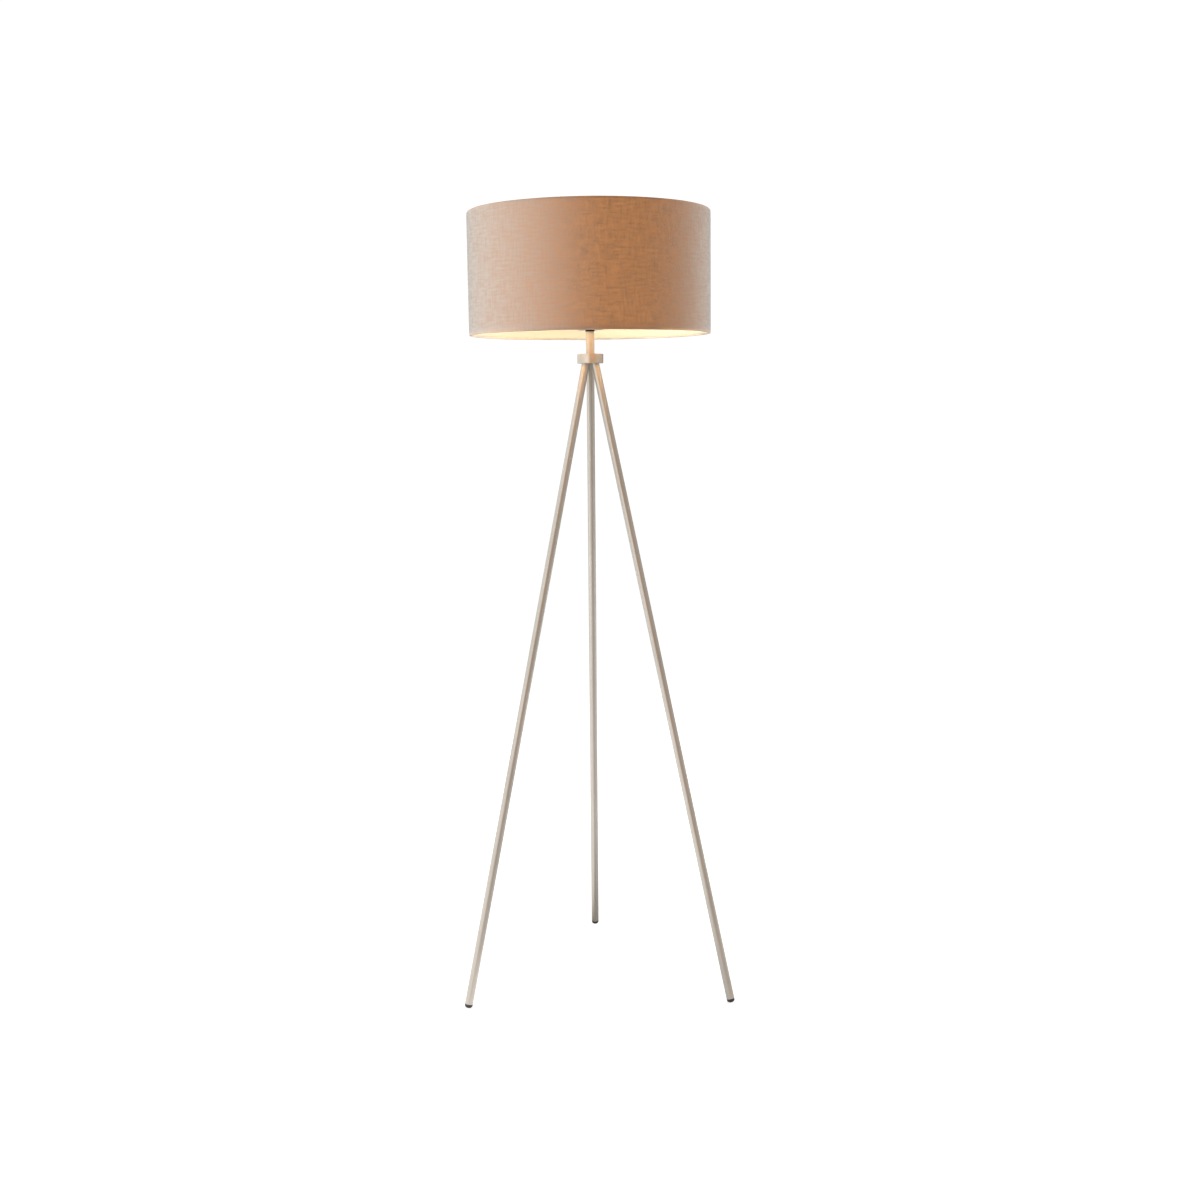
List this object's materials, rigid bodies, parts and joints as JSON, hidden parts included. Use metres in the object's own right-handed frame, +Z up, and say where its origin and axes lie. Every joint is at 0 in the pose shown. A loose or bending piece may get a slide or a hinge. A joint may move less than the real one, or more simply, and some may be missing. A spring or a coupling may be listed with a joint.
{
  "type": "tripod floor lamp",
  "caption": "Floor lamp with splayed slim metal tube legs under a round hub, a short stem and a wide fabric drum shade around a screw-cap bulb.",
  "frame": {"origin": "on the floor, on the vertical axis that the hub, the stem and the shade share, midway between the feet", "axes": "+Z up along the stem, +Y towards the rear leg's foot, +X to the right as seen from the front"},
  "size_m": [0.51, 0.5183, 1.475],
  "materials": {
    "satin_nickel": "fine satin brushed nickel plate",
    "zinc_steel": "zinc plated, machined",
    "dark_plastic": "fine matt moulding",
    "collar_bronze": "dark satin paint",
    "holder_plastic": "matt moulded thermoplastic",
    "porcelain": "unglazed porcelain",
    "brass": "bright stamped",
    "taupe_cloth": "plain weave with fine slubs",
    "lining_film": "matt film",
    "white_steel": "white powder coat",
    "lamp_nickel": "rolled thin sheet",
    "solder": "tinned",
    "black_glass": "gloss",
    "lamp_white": "satin moulded",
    "lamp_opal": "opal diffuser"
  },
  "bodies": {
    "stand": {"leg_rear": "satin_nickel", "leg_left": "satin_nickel", "leg_right": "satin_nickel", "foot_glide_rear": "dark_plastic", "foot_glide_left": "dark_plastic", "foot_glide_right": "dark_plastic", "leg_insert_rear": "zinc_steel", "leg_insert_left": "zinc_steel", "leg_insert_right": "zinc_steel", "leg_stud_rear": "zinc_steel", "leg_stud_left": "zinc_steel", "leg_stud_right": "zinc_steel", "cable_grommet": "dark_plastic", "hub": "satin_nickel", "stem": "satin_nickel", "threaded_rod": "zinc_steel", "stem_collar": "collar_bronze", "holder_shell": "holder_plastic", "holder_insert": "porcelain", "terminal_screws": "brass", "screw_contact": "brass", "centre_contact": "brass", "holder_retainer": "holder_plastic", "rod_nut": "zinc_steel", "earth_tag": "brass"},
    "shade": {"shade_fabric": "taupe_cloth", "shade_lining": "lining_film", "shade_top_wire": "white_steel", "shade_bottom_wire": "white_steel", "shade_spoke_rear": "white_steel", "shade_spoke_left": "white_steel", "shade_spoke_right": "white_steel", "carrier_ring": "white_steel"},
    "shade_ring": {"shade_ring": "holder_plastic"},
    "lamp": {"lamp_tip": "solder", "lamp_insulator": "black_glass", "lamp_cap": "lamp_nickel", "lamp_body": "lamp_white", "lamp_globe": "lamp_opal", "lamp_board": "lamp_white"}
  },
  "joints": [
    {"name": "shade_turn", "type": "hinge", "parent": "stand", "child": "shade", "pos_m": [0, 0, 1.265], "axis": [0, 0, 1], "continuous": true},
    {"name": "shade_ring_turn", "type": "hinge", "parent": "stand", "child": "shade_ring", "pos_m": [0, 0, 1.269], "axis": [0, 0, 1], "range_deg": [0, 6192]},
    {"name": "lamp_turn", "type": "hinge", "parent": "stand", "child": "lamp", "pos_m": [0, 0, 1.3], "axis": [0, 0, 1], "range_deg": [0, 1470]}
  ]
}
